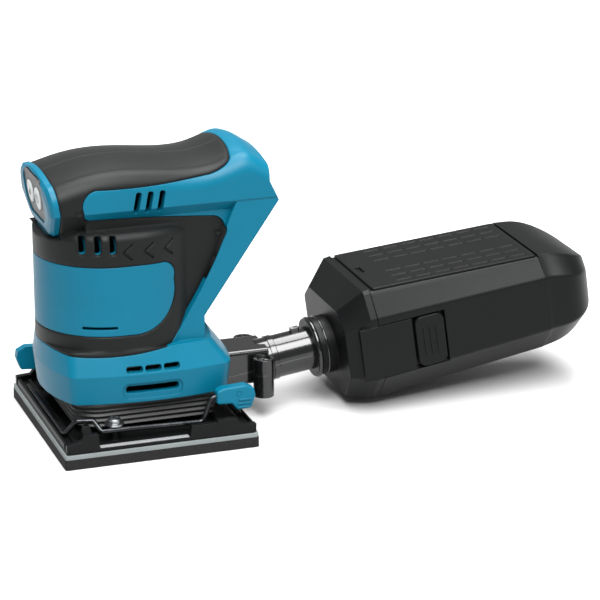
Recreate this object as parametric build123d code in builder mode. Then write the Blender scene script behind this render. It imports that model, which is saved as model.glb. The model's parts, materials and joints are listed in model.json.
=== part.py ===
from build123d import *
import math
import os

os.makedirs("parts", exist_ok=True)

# Cordless quarter-sheet finishing sander with its dust box, in millimetres.
# X runs from the nose (-) to the dust box (+), Z is up, and the origin is the centre of the sanding face.

# Driving dimensions: the pad and its orbit
pad_length = 102.0
pad_width = 112.0
foam_height = 5.35
plate_top = 7.5
deck_top = 9.0
rim_top = 12.2
base_inset = 1.4
orbit = 0.75
motor_x = -orbit
run_gap = 0.03

# Driving dimensions: the housing
skirt_bottom = 26.0
crease_z = 41.0
skirt_top = 53.0
barrel_radius = 36.5
barrel_front = -50.0
barrel_rear_centre = -3.0
barrel_top = 114.0
valley_half = 27.0
handle_half = 31.5
handle_bottom = 110.0
strut_half = 31.0
grip_depth = 2.0
seam_width = 0.35
wall = 4.6
slope_angle = 56.0

# Driving dimensions: the nozzle and the dust box on their tilted axis
pipe_tilt = 8.0
pipe_x = 73.0
pipe_z = 26.0
pipe_radius = 11.4
pipe_bore = 9.0
pipe_end = 27.0
case_wall = 2.0
case_front = 35.0
case_seam = 51.6
case_rear = 146.7
case_end = 178.5

made = []


def save(part, name):
    """Label one finished piece and write its file."""
    part.label = name
    export_step(part, f"parts/{name}.step")
    made.append(name)


def half_space(side, span=400.0):
    """A block that covers one side of the middle plane: -1 is the left side, 1 the right side."""
    with BuildPart() as block:
        with Locations((0, side * span / 2, 0)):
            Box(span * 2, span, span * 2)
    return block.part


left_half = half_space(-1)
right_half = half_space(1)


# ---------------------------------------------------------------- outer form of the housing
def plan_outline(plane, front, rear, half):
    """The skirt's outline seen from above: bowed front, gently bowed sides and a bowed rear."""
    with BuildSketch(plane) as sketch:
        with BuildLine():
            near = ThreePointArc((front + 9, -half + 6), (-4, -half), (rear - 5, -half + 4))
            back = ThreePointArc(near @ 1, (rear, 0), (rear - 5, half - 4))
            far = ThreePointArc(back @ 1, (-4, half), (front + 9, half - 6))
            ThreePointArc(far @ 1, (front, 0), near @ 0)
        make_face()
        fillet(sketch.vertices(), 7)
    return sketch.sketch


def skirt(inset):
    """Lower housing around the fan: flares out to a crease, then slopes in to the barrel."""
    with BuildPart() as solid:
        low, crease, top = [
            plan_outline(Plane.XY.offset(z), front + inset, rear - inset, half - inset)
            for z, front, rear, half in ((skirt_bottom, -49, 45, 40.5), (crease_z, -50.5, 46.5, 42),
                                         (skirt_top - inset * 0.5, -49.5, 37.5, 37.2))]
        loft([low, crease], ruled=True)
        loft([crease, top], ruled=True)
    return solid.part


def side_outline(inset):
    """Side view of everything above the skirt, drawn inset all round."""
    low_x = 30 - inset
    with BuildSketch(Plane.XZ) as sketch:
        with BuildLine():
            front = Polyline((-48 + inset, 144), (-44.5 + inset, 113 + inset * 0.5),
                             (barrel_front + inset, 108), (barrel_front + inset, 44 + inset), (low_x, 44 + inset),
                             (low_x, 65 + inset * 0.314))
            slope = Line(front @ 1, (70 - inset * 1.15, 122.5 + inset * 0.1))
            rear = Polyline(slope @ 1, (65 - inset, 133 - inset * 0.2), (65.6 - inset, 140))
            heel = ThreePointArc(rear @ 1, (63.6 - inset, 146.6 - inset), (58 - inset, 150.6 - inset))
            Polyline(heel @ 1, (58 - inset, 160), (-48, 160), front @ 0)
        make_face()
    return sketch.sketch


def handle_section(x, top, inset):
    """One cross-section of the handle: crowned top, round shoulders, upright sides and slanting flanks."""
    half = handle_half - inset
    top = top - inset
    foot = handle_bottom + inset
    with BuildSketch(Plane.YZ.offset(x)) as section:
        with BuildLine():
            crown = ThreePointArc((-22, top - 2.6), (0, top), (22, top - 2.6))
            shoulder = ThreePointArc(crown @ 1, (half - 2.4, top - 6), (half, top - 12))
            side = Polyline(shoulder @ 1, (half, 124.5), (19.5 - inset, foot), (inset - 19.5, foot), (-half, 124.5),
                            (-half, top - 12))
            ThreePointArc(side @ 1, (2.4 - half, top - 6), crown @ 0)
        make_face()
    return section.sketch


def handle(inset):
    """Top handle from the nose to the rear end, with a dip in its back for the palm."""
    stations = ((-60, 139.5), (-42, 141.8), (-30, 144.8), (-14, 146.5), (9, 145.1), (26, 144), (36, 145), (46, 148.2),
                (56, 149.6), (74, 149.6))
    with BuildPart() as solid:
        loft([handle_section(x, top, inset) for x, top in stations])
        with BuildSketch(Plane.XZ):
            add(side_outline(inset))
        extrude(amount=50, both=True, mode=Mode.INTERSECT)
    return solid.part


def handle_room():
    """Hollow of the handle, with plain sloping corners."""
    with BuildPart() as solid:
        with BuildSketch(Plane.XZ):
            with BuildLine():
                Polyline((-39.5, 116), (-40.5, 134), (-30, 138), (-14, 139.8), (9, 138.6), (36, 138), (46, 141),
                         (57, 142.6), (60.5, 133), (64, 122.5), (58, 116), close=True)
            make_face()
        extrude(amount=handle_half - wall, both=True)
        chamfer([e for e in solid.edges() if abs(e.center().Y) > 25 and e.center().Z > 137], 7)
        chamfer([e for e in solid.edges() if abs(e.center().Y) > 25 and e.center().Z < 117], 8.9)
    return solid.part


def strut(inset):
    """Sloping rear column that joins the handle to the skirt and carries the battery slide."""
    half = strut_half - inset
    with BuildPart() as solid:
        with BuildSketch(Plane.XZ):
            with BuildLine():
                front = Polyline((15, 46), (16, 58), (28, 79), (36, 95), (44, 116))
                Polyline(front @ 1, (50, 129), (90, 129), (45, 46), front @ 0)
            make_face()
            offset(amount=-inset, kind=Kind.INTERSECTION, mode=Mode.REPLACE)
            add(side_outline(inset), mode=Mode.INTERSECT)
        extrude(amount=half, both=True)
    return solid.part


def barrel(inset):
    """Upright motor barrel."""
    radius = barrel_radius - inset
    front_centre = barrel_front + barrel_radius
    length = barrel_rear_centre - front_centre
    with BuildPart() as solid:
        with BuildSketch(Plane.XY.offset(44 + inset)):
            with Locations(((front_centre + barrel_rear_centre) / 2, 0)):
                SlotCenterToCenter(length, radius * 2)
        extrude(amount=barrel_top - 44 - inset * 2)
        fillet(solid.edges().group_by(Axis.Z)[-1], 4.5)
        with BuildSketch(Plane.XZ):
            add(side_outline(inset))
        extrude(amount=50, both=True, mode=Mode.INTERSECT)
    return solid.part


def middle(inset):
    """Narrower middle of the upper body, seen in the valley between the barrel and the strut."""
    with BuildPart() as solid:
        with BuildSketch(Plane.XZ):
            add(side_outline(inset))
            with Locations((70 + inset, 65)):
                Rectangle(200, 122, mode=Mode.INTERSECT)
        extrude(amount=valley_half - inset, both=True)
    return solid.part


def body_skin(inset):
    """The whole outer form, or the same form drawn inset by the grip's thickness."""
    with BuildPart() as solid:
        for form in (barrel, handle, strut, middle, skirt):
            add(form(inset))
    return solid.part


def body_room():
    """The hollow inside the housing, a wall's thickness in from the outer form."""
    with BuildPart() as solid:
        add(barrel(wall))
        add(handle_room())
        for form in (strut, middle, skirt):
            add(form(wall))
    return solid.part


outer = body_skin(0)
under_grip = body_skin(grip_depth)
cavity = body_room()


def side_prism(outline, span=60.0):
    """A side-view outline carried through the whole width."""
    with BuildPart() as prism:
        with BuildSketch(Plane.XZ):
            add(outline)
        extrude(amount=span, both=True)
    return prism.part


def panel_outline(grow=0.0):
    """Side view of the bare panel round the barrel, with its slanted round end, drawn larger all round."""
    with BuildSketch(Plane.XZ) as sketch:
        with BuildLine():
            top = Line((-70, 97 + grow), (6, 97 + grow))
            end = ThreePointArc(top @ 1, (12.2 + grow * 0.7, 94.5 + grow * 0.7), (13.3 + grow, 87.5))
            low = ThreePointArc(end @ 1, (8 + grow, 68 - grow * 0.5), (-10, 61 - grow))
            Polyline(low @ 1, (-70, 61 - grow), top @ 0)
        make_face()
    return sketch.sketch


def strut_outline(grow=0.0):
    """Side view of the bare strut and of its tongue along the handle, drawn larger all round."""
    with BuildSketch(Plane.XZ) as sketch:
        with BuildLine():
            low = Polyline((90, 48), (12 - grow, 48), (12 - grow, 53.7), (16.4 - grow, 59), (28 - grow, 78.5),
                           (36 - grow, 94), (41 - grow, 105.6))
            elbow = ThreePointArc(low @ 1, (41.5 - grow, 113 - grow), (36, 116.5 - grow))
            under = ThreePointArc(elbow @ 1, (0, 119.2 - grow), (-27, 120.5 - grow))
            toe = ThreePointArc(under @ 1, (-30.4 - grow, 121.6 - grow), (-31.6 - grow, 125))
            tip = ThreePointArc(toe @ 1, (-31.2 - grow, 132.4 + grow * 0.5), (-25, 136.2 + grow))
            over = ThreePointArc(tip @ 1, (6, 136.2 + grow), (34, 138.6 + grow))
            Spline(over @ 1, (42 - grow * 0.6, 141.6 + grow), (47 - grow, 146), (49 - grow, 152))
            Polyline((49 - grow, 152), (49 - grow, 170), (90, 170), low @ 0)
        make_face()
    return sketch.sketch


def nose_block(grow=0.0):
    """The front of the handle that the nose cap covers."""
    with BuildPart() as block:
        with BuildSketch(Plane.XZ):
            with BuildLine():
                Polyline((-80, 110.4 - grow), (-41.8 + grow, 110.4 - grow), (-48.8 + grow, 160), (-80, 160),
                         close=True)
            make_face()
        extrude(amount=60, both=True)
    return block.part


def band_floor(grow=0.0):
    """Everything under the curved seam between the skirt and the band above it."""
    with BuildPart() as block:
        with BuildSketch(Plane.XZ):
            with BuildLine():
                seam = ThreePointArc((-70, 56.5 + grow), (-12, 50.4 + grow), (18, 54.5 + grow))
                Polyline(seam @ 1, (90, 54.5 + grow), (90, 0), (-70, 0), seam @ 0)
            make_face()
        extrude(amount=60, both=True)
    return block.part


def slot_row(first_x, pitch, count, width, height, z, slant):
    """A row of slanted side slots cut right through the width."""
    with BuildPart() as cutters:
        with BuildSketch(Plane.XZ):
            for index in range(count):
                with Locations((first_x + index * pitch, z)):
                    RectangleRounded(width, height, min(width, height) * 0.4, rotation=slant)
        extrude(amount=60, both=True)
    return cutters.part


nose_zone = nose_block()
handle_slots = slot_row(-4.4, 6.2, 3, 3.0, 11.5, 127.8, -10)
barrel_slots = slot_row(-33, 7.2, 3, 3.4, 9.5, 108.5, 0)
skirt_slots = slot_row(-10, 9.7, 3, 8.5, 3.4, 43.6, 0)
long_slot = slot_row(-0.7, 1, 1, 27.6, 4.2, 33.0, 0)
panel_slot = slot_row(-25.5, 1, 1, 17.0, 1.6, 65.2, 0)

with BuildPart() as slot_frame:
    add(slot_row(-0.6, 1, 1, 31.0, 8.4, 32.2, 0))
    add(skirt(0.7), mode=Mode.SUBTRACT)

with BuildPart() as chevrons:
    with BuildSketch(Plane.XZ):
        for tip_x in (-13.8, -2.8, 8.2):
            with Locations((tip_x + 2.4, 106.4)):
                Rectangle(6.6, 1.0, rotation=40)
            with Locations((tip_x + 2.4, 102.4)):
                Rectangle(6.6, 1.0, rotation=-40)
    extrude(amount=60, both=True)
    add(barrel(0.8), mode=Mode.SUBTRACT)


def overmould(grow):
    """The elastomer layer: the outer 2 mm of the body wherever no bare part shows."""
    with BuildPart() as layer:
        add(outer)
        add(under_grip, mode=Mode.SUBTRACT)
        add(side_prism(panel_outline(grow)), mode=Mode.SUBTRACT)
        add(side_prism(strut_outline(grow)), mode=Mode.SUBTRACT)
        add(nose_block(grow), mode=Mode.SUBTRACT)
        add(band_floor(grow), mode=Mode.SUBTRACT)
    return layer.part


grip_layer = overmould(0)


# ---------------------------------------------------------------- housing halves and their grips
slope_top = Vector(70, 0, 122.5)
slope_low = Vector(30, 0, 65)
slope_dir = (slope_top - slope_low).normalized()
slope_mid = slope_low + (slope_top - slope_low) * 0.5
slope_plane = Plane(origin=slope_mid, x_dir=slope_dir, z_dir=Vector(0, 1, 0).cross(slope_dir))
slope_length = (slope_top - slope_low).length
pocket_depth = 5.5
slab_depth = 9.0
pocket_length = 54.0
pocket_middle = 4.0
pocket_half = 26.0
rail_width = 4.4
rail_middle = 2.1

with BuildPart() as slope_slab:
    with BuildSketch(slope_plane.offset(20)):
        with Locations((6, 0)):
            Rectangle(slope_length - 2, 80)
    extrude(amount=-20 - slab_depth)

with BuildPart() as battery_pocket:
    with BuildSketch(slope_plane.offset(20)):
        with Locations((pocket_middle, 0)):
            Rectangle(pocket_length, pocket_half * 2)
    extrude(amount=-20 - pocket_depth)

with BuildPart() as duct_hole:
    with BuildSketch(Plane.YZ.offset(30)):
        with Locations((0, 31.5)):
            RectangleRounded(20, 7, 2)
    extrude(amount=30)

with BuildPart() as shell:
    add(outer)
    add(grip_layer, mode=Mode.SUBTRACT)
    with BuildPart(mode=Mode.PRIVATE) as hollow:
        add(cavity)
        add(slope_slab.part, mode=Mode.SUBTRACT)
        with BuildSketch(Plane.XY.offset(skirt_bottom - 1)):
            add(plan_outline(Plane.XY, -47, 43, 38.5))
        extrude(amount=wall + 1)
    add(hollow.part, mode=Mode.SUBTRACT)
    add(nose_zone, mode=Mode.SUBTRACT)
    add(battery_pocket.part, mode=Mode.SUBTRACT)
    with BuildSketch(slope_plane.offset(-2.6)):
        with Locations((pocket_middle, rail_middle - pocket_half), (pocket_middle, pocket_half - rail_middle)):
            Rectangle(pocket_length - 6, rail_width)
    extrude(amount=2.2)
    add(duct_hole.part, mode=Mode.SUBTRACT)
    add(handle_slots, mode=Mode.SUBTRACT)
    add(barrel_slots, mode=Mode.SUBTRACT)
    for cutter in (skirt_slots, long_slot, slot_frame.part, panel_slot):
        add(cutter, mode=Mode.SUBTRACT)

with BuildPart() as grip_cut:
    add(overmould(seam_width))
    add(handle_slots, mode=Mode.SUBTRACT)
    add(barrel_slots, mode=Mode.SUBTRACT)
    add(chevrons.part, mode=Mode.SUBTRACT)

for side, side_name, block in ((-1, "left", left_half), (1, "right", right_half)):
    with BuildPart() as housing_half:
        add(shell.part)
        add(block, mode=Mode.INTERSECT)
    save(housing_half.part, f"{side_name}_housing")
    with BuildPart() as grip_half:
        add(grip_cut.part)
        add(block, mode=Mode.INTERSECT)
    save(grip_half.part, f"{side_name}_grip")


# ---------------------------------------------------------------- nose cap with its switches
nose_lean = math.radians(8)
cap_plane = Plane(origin=(-44.4, 0, 128.8), x_dir=(0, -1, 0), z_dir=(-math.cos(nose_lean), 0, -math.sin(nose_lean)))
cap_depth = 5.2
panel_recess = 1.6
button_y = 7.5



def nose_outline(offset, shrink=0.0):
    """Outline of the nose: crowned top, round shoulders and flanks that slant in to the bottom."""
    half = 31.8 - shrink
    top = 12.9 - shrink
    foot = shrink - 17.9
    with BuildSketch(cap_plane.offset(offset)) as sketch:
        with BuildLine():
            crown = ThreePointArc((shrink * 0.6 - 21, top - 2.6), (0, top), (21 - shrink * 0.6, top - 2.6))
            right = ThreePointArc(crown @ 1, (half - 2.8, top - 5.8), (half, top - 12))
            side = Polyline(right @ 1, (half, -4), (19 - shrink * 0.6, foot), (shrink * 0.6 - 19, foot), (-half, -4),
                            (-half, top - 12))
            ThreePointArc(side @ 1, (2.8 - half, top - 5.8), crown @ 0)
        make_face()
        low = sketch.vertices().group_by(Axis.Y)[0]
        fillet(low, 7 - shrink * 0.5)
    return sketch.sketch


with BuildPart() as front_cap:
    loft([nose_outline(0.05), nose_outline(cap_depth * 0.55), nose_outline(cap_depth * 0.86, 1.6),
          nose_outline(cap_depth, 4.2)], ruled=True)
    add(extrude(nose_outline(0, 3.0), amount=cap_depth - 3.4, mode=Mode.PRIVATE), mode=Mode.SUBTRACT)
    with BuildSketch(cap_plane.offset(cap_depth + 0.05)):
        RectangleRounded(38.4, 23.4, 9)
    extrude(amount=-panel_recess, mode=Mode.SUBTRACT)
    with BuildSketch(cap_plane):
        with Locations((-button_y, 0), (button_y, 0)):
            Ellipse(3.4, 4.4)
    extrude(amount=cap_depth + 1, mode=Mode.SUBTRACT)
save(front_cap.part, "front_cap")

with BuildPart() as switch_membrane:
    with BuildSketch(cap_plane.offset(cap_depth + 0.05 - panel_recess)):
        RectangleRounded(38, 23, 8.8)
        with Locations((-button_y, 0), (button_y, 0)):
            Ellipse(5.3, 6.3, mode=Mode.SUBTRACT)
    extrude(amount=0.9)
save(switch_membrane.part, "switch_membrane")

for centre, name in ((button_y, "power_button"), (-button_y, "speed_button")):
    with BuildPart() as button:
        with BuildSketch(cap_plane.offset(cap_depth - panel_recess + 0.75)):
            with Locations((centre, 0)):
                Ellipse(4.9, 5.9)
        extrude(amount=1.0)
        with BuildSketch(cap_plane.offset(1.6)):
            with Locations((centre, 0)):
                Ellipse(3.0, 4.0)
        extrude(amount=cap_depth - panel_recess - 0.8)
        fillet(button.faces().sort_by(Axis.X)[0].edges(), 0.4)
    save(button.part, name)

with BuildPart() as switch_board:
    with BuildSketch(cap_plane.offset(0.15)):
        RectangleRounded(40, 14, 5)
    extrude(amount=0.8)
save(switch_board.part, "switch_board")

with BuildPart() as controller:
    with Locations((8, 0, 128)):
        Box(52, 34, 14)
    fillet(controller.edges().filter_by(Axis.Z), 2)
save(controller.part, "controller")

# ---------------------------------------------------------------- motor, shaft and fan
motor_axis = (motor_x, 0)
yoke_radius = 26.0
core_radius = 18.0
shaft_radius = 4.0
tip_radius = 3.0


def ring(name, outside, inside, low, high, centre=motor_axis):
    """A plain ring round an upright axis."""
    with BuildPart() as part:
        with BuildSketch(Plane.XY.offset(low)):
            with Locations(centre):
                Circle(outside)
                if inside:
                    Circle(inside, mode=Mode.SUBTRACT)
        extrude(amount=high - low)
    save(part.part, name)


with BuildPart() as motor_yoke:
    with BuildSketch(Plane.XY.offset(52)):
        with Locations(motor_axis):
            Circle(yoke_radius)
            Circle(yoke_radius - 2.2, mode=Mode.SUBTRACT)
    extrude(amount=44)
save(motor_yoke.part, "motor_yoke")

for sign, side_name in ((1, "front"), (-1, "rear")):
    with BuildPart() as magnet:
        with BuildSketch(Plane.XY.offset(58)):
            with Locations(motor_axis):
                Circle(yoke_radius - 2.2)
                Circle(core_radius + 0.8, mode=Mode.SUBTRACT)
                Rectangle(80, 12, mode=Mode.SUBTRACT)
                with Locations((0, -sign * 30)):
                    Rectangle(80, 60, mode=Mode.SUBTRACT)
        extrude(amount=32)
    save(magnet.part, f"{side_name}_magnet")

with BuildPart() as motor_bracket:
    with BuildSketch(Plane.XY.offset(42)):
        with Locations(motor_axis):
            RectangleRounded(66, 66, 16)
            Circle(11, mode=Mode.SUBTRACT)
            with PolarLocations(20, 6):
                Circle(4.5, mode=Mode.SUBTRACT)
    extrude(amount=4)
    with BuildSketch(Plane.XY.offset(38)):
        with Locations(motor_axis):
            Circle(14)
            Circle(11, mode=Mode.SUBTRACT)
    extrude(amount=8)
    with BuildSketch(Plane.XY.offset(46)):
        with Locations(motor_axis):
            Circle(yoke_radius)
            Circle(yoke_radius - 3, mode=Mode.SUBTRACT)
    extrude(amount=6)
save(motor_bracket.part, "motor_bracket")

with BuildPart() as brush_ring:
    with BuildSketch(Plane.XY.offset(96)):
        with Locations(motor_axis):
            Circle(yoke_radius)
            Circle(9.8, mode=Mode.SUBTRACT)
            Rectangle(7.2, 80, mode=Mode.SUBTRACT)
    extrude(amount=8)
    with BuildSketch(Plane.XY.offset(104)):
        with Locations(motor_axis):
            Circle(yoke_radius)
            Circle(9.5, mode=Mode.SUBTRACT)
    extrude(amount=5)
save(brush_ring.part, "brush_ring")

for sign, side_name in ((-1, "left"), (1, "right")):
    with BuildPart() as brush:
        with Locations((motor_x, sign * 16.2, 100)):
            Box(6.8, 15, 7.4)
        with BuildSketch(Plane.XY.offset(90)):
            with Locations(motor_axis):
                Circle(9.1)
        extrude(amount=20, mode=Mode.SUBTRACT)
    save(brush.part, f"{side_name}_carbon_brush")

ring("lower_motor_bearing", 11, shaft_radius + run_gap, 38.5, 45.5)
ring("upper_motor_bearing", 9.5, tip_radius + run_gap, 104, 109.5)

with BuildPart() as rotor_shaft:
    with BuildSketch(Plane.XY.offset(20.5)):
        with Locations(motor_axis):
            Circle(shaft_radius)
    extrude(amount=83)
    with BuildSketch(Plane.XY.offset(103.5)):
        with Locations(motor_axis):
            Circle(tip_radius)
    extrude(amount=7)
    with BuildSketch(Plane.XY.offset(10)):
        Circle(shaft_radius)
    extrude(amount=10.5)
save(rotor_shaft.part, "rotor_shaft")

ring("armature_core", core_radius, shaft_radius, 58, 90)
ring("lower_windings", 15.5, shaft_radius, 53, 58)
ring("upper_windings", 15.5, shaft_radius, 90, 94.5)
ring("commutator", 9.0, shaft_radius, 96, 103.4)

with BuildPart() as balance_weight:
    with BuildSketch(Plane.XY.offset(21.5)):
        with Locations(motor_axis):
            Circle(20)
            with Locations((-16, 0)):
                Rectangle(32, 50, mode=Mode.SUBTRACT)
            Circle(8)
            Circle(shaft_radius, mode=Mode.SUBTRACT)
    extrude(amount=5.5)
save(balance_weight.part, "balance_weight")

with BuildPart() as fan:
    with BuildSketch(Plane.XY.offset(28)):
        with Locations(motor_axis):
            Circle(27)
            Circle(shaft_radius, mode=Mode.SUBTRACT)
    extrude(amount=1.6)
    with BuildSketch(Plane.XY.offset(29.6)):
        with Locations(motor_axis):
            Circle(8)
            Circle(shaft_radius, mode=Mode.SUBTRACT)
    extrude(amount=6)
    with BuildSketch(Plane.XY.offset(29.6)):
        with Locations(motor_axis):
            with PolarLocations(17.6, 14):
                Rectangle(16, 1.5, rotation=32)
    extrude(amount=6)
save(fan.part, "fan")

# ---------------------------------------------------------------- boot, legs and the screws of the housing
boot_half_x = 39.5
boot_half_y = 36.5
leg_x = 28.0
leg_y = 23.0
leg_radius = 4.6
pocket_gap = 1.3

with BuildPart() as dust_boot:
    low = Plane.XY.offset(13.6)
    with BuildSketch(low):
        RectangleRounded(boot_half_x * 2, boot_half_y * 2, 14)
        RectangleRounded(boot_half_x * 2 - 3.4, boot_half_y * 2 - 3.4, 12.3, mode=Mode.SUBTRACT)
    extrude(amount=skirt_bottom - 13.6)
    with BuildSketch(Plane.XY.offset(skirt_bottom - 1.6)):
        RectangleRounded(boot_half_x * 2 + 2.4, boot_half_y * 2 + 2.4, 15)
        RectangleRounded(boot_half_x * 2 - 3.4, boot_half_y * 2 - 3.4, 12.3, mode=Mode.SUBTRACT)
    extrude(amount=1.6)
save(dust_boot.part, "dust_boot")

leg_spots = ((-leg_x, -leg_y, "front_left"), (-leg_x, leg_y, "front_right"),
             (leg_x, -leg_y, "rear_left"), (leg_x, leg_y, "rear_right"))
for x, y, name in leg_spots:
    with BuildPart() as leg:
        with BuildSketch(Plane.XY.offset(11.5)):
            with Locations((x, y)):
                Circle(leg_radius)
        extrude(amount=25)
        with BuildSketch(Plane.XY.offset(36.5)):
            with Locations((x, y)):
                Circle(leg_radius + 1.4)
        extrude(amount=3)
        fillet(leg.edges().group_by(Axis.Z)[0], 1)
    save(leg.part, f"{name}_leg")

with BuildPart() as leg_frame:
    with BuildSketch(Plane.XY.offset(39.5)):
        RectangleRounded(70, 61, 14)
        Circle(27, mode=Mode.SUBTRACT)
    extrude(amount=2.5)
save(leg_frame.part, "leg_frame")

# ---------------------------------------------------------------- nozzle
tilt = math.radians(pipe_tilt)
pipe_dir = Vector(math.cos(tilt), 0, math.sin(tilt))


def pipe_plane(distance):
    """Plane square to the dust axis: local X is the width, local Y is the height."""
    origin = Vector(pipe_x, 0, pipe_z) + pipe_dir * distance
    return Plane(origin=origin, x_dir=(0, 1, 0), z_dir=pipe_dir)


boss_x = 66.0
boss_y = 17.0
duct_half = 12.0

with BuildPart() as nozzle:
    with BuildSketch(Plane.YZ.offset(43.5)):
        with Locations((0, 26.5)):
            RectangleRounded(duct_half * 2, 19, 2.5)
    extrude(amount=27)
    with BuildSketch(pipe_plane(-5)):
        Circle(pipe_radius)
    extrude(amount=pipe_end + 5)
    with BuildSketch(pipe_plane(1)):
        Circle(pipe_radius + 0.5)
    extrude(amount=3)
    with BuildSketch(Plane.XY.offset(12.4)):
        with Locations((boss_x, -boss_y), (boss_x, boss_y)):
            Circle(5.4)
    extrude(amount=20.6)
    with BuildSketch(Plane.XY.offset(17.2)):
        with Locations((boss_x, 0)):
            Rectangle(6, boss_y * 2)
    extrude(amount=11)

with BuildPart() as nozzle_bores:
    with BuildSketch(Plane.YZ.offset(40)):
        with Locations((0, 27)):
            RectangleRounded(duct_half * 2 - 5, 13, 2)
    extrude(amount=30)
    with BuildSketch(pipe_plane(-6)):
        Circle(pipe_bore)
    extrude(amount=pipe_end + 20)
    with BuildSketch(Plane.XY.offset(9)):
        with Locations((boss_x, -boss_y), (boss_x, boss_y)):
            Circle(2.1)
    extrude(amount=23)
    with BuildSketch(Plane.XY.offset(29)):
        with Locations((boss_x, -boss_y), (boss_x, boss_y)):
            Circle(3.6)
    extrude(amount=6)

with BuildPart() as nozzle_upper:
    add(nozzle.part)
    add(nozzle_bores.part, mode=Mode.SUBTRACT)
    split(bisect_by=Plane(origin=(pipe_x, 0, pipe_z), z_dir=(-math.sin(tilt), 0, math.cos(tilt))), keep=Keep.TOP)
    add(outer, mode=Mode.SUBTRACT)
save(nozzle_upper.part, "nozzle_upper")

with BuildPart() as nozzle_lower:
    add(nozzle.part)
    add(nozzle_bores.part, mode=Mode.SUBTRACT)
    split(bisect_by=Plane(origin=(pipe_x, 0, pipe_z), z_dir=(-math.sin(tilt), 0, math.cos(tilt))), keep=Keep.BOTTOM)
    add(outer, mode=Mode.SUBTRACT)
save(nozzle_lower.part, "nozzle_lower")

for sign, side_name in ((-1, "left"), (1, "right")):
    with BuildPart() as nozzle_screw:
        with BuildSketch(Plane.XY.offset(13.4)):
            with Locations((boss_x, sign * boss_y)):
                Circle(2.0)
        extrude(amount=15.8)
        with BuildSketch(Plane.XY.offset(29.2)):
            with Locations((boss_x, sign * boss_y)):
                Circle(3.4)
                Rectangle(4.2, 1, mode=Mode.SUBTRACT)
                Rectangle(1, 4.2, mode=Mode.SUBTRACT)
        extrude(amount=2.6)
    save(nozzle_screw.part, f"{side_name}_nozzle_screw")

# ---------------------------------------------------------------- pad, base and its bearing
wire_radius = 1.3
fulcrum_x = 22.0
fulcrum_y = 46.9
boss_offset = 3.9
washer_radius = 5.0
fulcrum_z = 15.1
boss_gap = 0.4
hub_radius = 17.0
bearing_radius = 13.0
dust_hole_radius = 4.5


def dust_holes():
    """The pad's eight dust holes, in the sketch that is open."""
    with GridLocations(26, 56, 2, 2):
        Circle(dust_hole_radius, mode=Mode.SUBTRACT)
    with GridLocations(60, 16, 2, 2):
        Circle(dust_hole_radius, mode=Mode.SUBTRACT)


with BuildPart() as foam_pad:
    with BuildSketch():
        RectangleRounded(pad_length, pad_width, 1.5)
        dust_holes()
    extrude(amount=foam_height)
save(foam_pad.part, "foam_pad")

with BuildPart() as pad_plate:
    with BuildSketch(Plane.XY.offset(foam_height)):
        RectangleRounded(pad_length - 0.6, pad_width - 0.6, 1.5)
        dust_holes()
    extrude(amount=plate_top - foam_height)
save(pad_plate.part, "pad_plate")

base_half_x = pad_length / 2 - base_inset
base_half_y = pad_width / 2 - base_inset


def side_rim():
    """Left rim of the base in side view: low at the corners, stepped, and cut down between the steps."""
    with BuildPart() as rim:
        with BuildSketch(Plane.XZ.offset(base_half_y)):
            with BuildLine():
                Polyline((-base_half_x, deck_top - 1), (-base_half_x, 12.4), (-41.5, 14.2), (-38.8, 17), (-33.4, 17),
                         (-32.6, 9.4), (14.6, 9.4), (15.4, 15.2), (28.8, 15.2), (29.4, 16.7), (39, 16.7), (41.8, 13),
                         (base_half_x, 12.4), (base_half_x, deck_top - 1), close=True)
            make_face()
        extrude(amount=-3.2)
    return rim.part


def clamp_rim():
    """Front edge of the base: a lip, and behind it the channel and the ledge that the paper is clamped on."""
    with BuildPart() as rim:
        with BuildSketch(Plane.XZ):
            with BuildLine():
                Polyline((-base_half_x, deck_top - 1), (-base_half_x, rim_top - 0.6), (-49, rim_top), (-48.2, rim_top),
                         (-48.2, 10.2), (-44.4, 10.2), (-44.4, 11.4), (-42.6, 11.4), (-42.6, deck_top - 1), close=True)
            make_face()
        extrude(amount=base_half_y - 6, both=True)
    return rim.part


def wire_saddle():
    """Fulcrum boss, the tapered guide under the wire's arch, and the wire's rest beside the lever."""
    with BuildPart() as saddle:
        with BuildSketch(Plane.XY.offset(deck_top - 0.5)):
            with Locations((-fulcrum_x, -fulcrum_y + boss_offset)):
                Circle(2.3)
        extrude(amount=fulcrum_z + wire_radius + boss_gap - deck_top + 0.5)
        with BuildSketch(Plane.XY.offset(deck_top - 0.5)):
            with Locations((-36, -41.5)):
                Rectangle(7.5, 8.5)
        with BuildSketch(Plane.XY.offset(17.3)):
            with Locations((-36, -41)):
                Rectangle(2.6, 2.8)
        loft(ruled=True)
        with BuildSketch(Plane.XZ.offset(42.9)):
            with Locations((35.4, 17.2)):
                Circle(3.4)
            with Locations((35.4, 12.8)):
                Rectangle(8.4, 8.8)
        extrude(amount=-5.5)
    return saddle.part


with BuildPart() as base:
    with BuildSketch(Plane.XY.offset(plate_top)):
        RectangleRounded(base_half_x * 2, base_half_y * 2, 2)
        dust_holes()
    extrude(amount=deck_top - plate_top)
    with BuildSketch(Plane.XY.offset(deck_top)):
        Circle(hub_radius)
        with Locations((pocket_gap / 2, 0)):
            with GridLocations(leg_x * 2, leg_y * 2, 2, 2):
                Circle(leg_radius + pocket_gap + 1.6)
                Circle(leg_radius + pocket_gap, mode=Mode.SUBTRACT)
        Circle(hub_radius)
    extrude(amount=9)
    for turn in (0, 180):
        for piece in (side_rim(), clamp_rim(), wire_saddle()):
            add(piece, rotation=(0, 0, turn))
    with BuildSketch(Plane.XY.offset(9.5)):
        Circle(bearing_radius)
    extrude(amount=20, mode=Mode.SUBTRACT)
save(base.part, "base")

ring("base_bearing", bearing_radius, shaft_radius + run_gap, 9.5, 17.5, (0, 0))

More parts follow.
